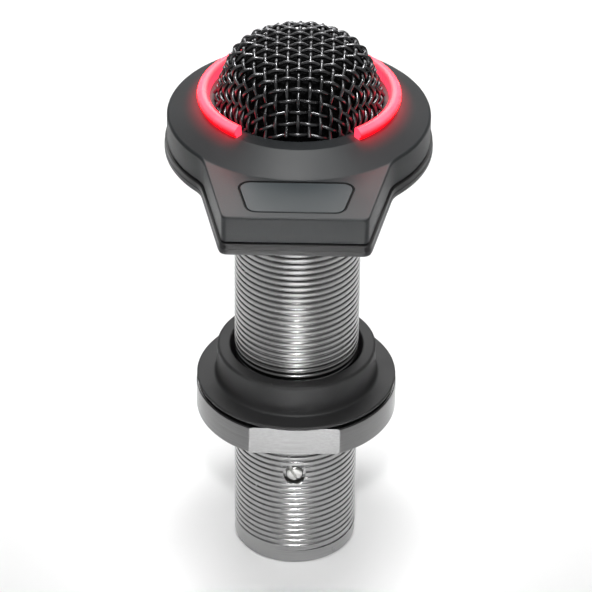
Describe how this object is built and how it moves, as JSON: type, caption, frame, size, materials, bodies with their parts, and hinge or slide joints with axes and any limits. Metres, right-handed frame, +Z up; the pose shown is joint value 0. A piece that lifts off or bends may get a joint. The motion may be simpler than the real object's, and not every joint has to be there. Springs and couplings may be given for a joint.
{
  "type": "flush-mount boundary microphone",
  "caption": "Panel-mount boundary microphone: domed wire grille in a glowing ring, tongue with touch pad, threaded barrel, rubber isolating washer and lock nut.",
  "frame": {"origin": "on the barrel axis at the underside of the base plate, where the head seats on its panel", "axes": "+Z up out of the panel along the barrel axis, -Y toward the talker, where the tongue and touch pad point"},
  "size_m": [0.0496, 0.0621, 0.111],
  "materials": {
    "housing_paint": "dark grey fine-textured powder coat on die-cast metal",
    "base_paint": "semi-gloss black paint",
    "barrel_nickel": "satin nickel plate over brass",
    "nut_nickel": "satin nickel plate over brass",
    "grille_wire": "black-plated woven steel wire, glossy",
    "windscreen_foam": "open-cell black foam",
    "capsule_can": "plain drawn aluminium",
    "boot_rubber": "matte black rubber",
    "inner_moulding": "black moulded plastic",
    "light_guide": "translucent red-lit plastic, glowing",
    "circuit_board": "green laminate with solder mask",
    "touch_window": "smoke-grey window, satin gloss",
    "screw_steel": "bright turned steel",
    "isolator_rubber": "satin black rubber",
    "pin_plating": "silver plate over brass",
    "lamp_body": "small red surface lamp",
    "lead_sleeve": "thin insulated wire"
  },
  "bodies": {
    "microphone": {"head_housing": "housing_paint", "base_plate": "base_paint", "barrel": "barrel_nickel", "grille_dome": "grille_wire", "foam_windscreen": "windscreen_foam", "microphone_capsule": "capsule_can", "capsule_boot": "boot_rubber", "capsule_carrier": "inner_moulding", "light_ring": "light_guide", "lamp_board": "circuit_board", "touch_pad": "touch_window", "pad_seal": "boot_rubber", "touch_sensor_board": "circuit_board", "preamp_board": "circuit_board", "preamp_chip": "inner_moulding", "coupling_capacitor_1": "capsule_can", "coupling_capacitor_2": "capsule_can", "connector_insert": "inner_moulding", "retention_screw": "screw_steel", "stem_flange": "screw_steel", "lamp_1": "lamp_body", "lamp_2": "lamp_body", "lamp_3": "lamp_body", "lamp_4": "lamp_body", "lamp_5": "lamp_body", "lamp_6": "lamp_body", "case_screw_1": "screw_steel", "flange_screw_1": "screw_steel", "connector_pin_1": "pin_plating", "output_lead_1": "lead_sleeve", "case_screw_2": "screw_steel", "flange_screw_2": "screw_steel", "connector_pin_2": "pin_plating", "output_lead_2": "lead_sleeve", "case_screw_3": "screw_steel", "flange_screw_3": "screw_steel", "connector_pin_3": "pin_plating", "output_lead_3": "lead_sleeve", "capsule_lead_1": "lead_sleeve", "capsule_lead_2": "lead_sleeve"},
    "isolator": {"isolator_washer": "isolator_rubber"},
    "lock_nut": {"lock_nut": "nut_nickel"}
  },
  "joints": [
    {"name": "isolator_slide", "type": "slide", "parent": "microphone", "child": "isolator", "axis": [0, 0, 1], "range_m": [-0.026, 0.043]},
    {"name": "nut_turn", "type": "hinge", "parent": "isolator", "child": "lock_nut", "pos_m": [0, 0, -0.05486], "axis": [0, 0, 1], "range_deg": [-7370, 12180]}
  ],
  "couplings": [
    {"joint": "isolator_slide", "follows": "nut_turn", "m_per_rad": 0.00020213}
  ]
}
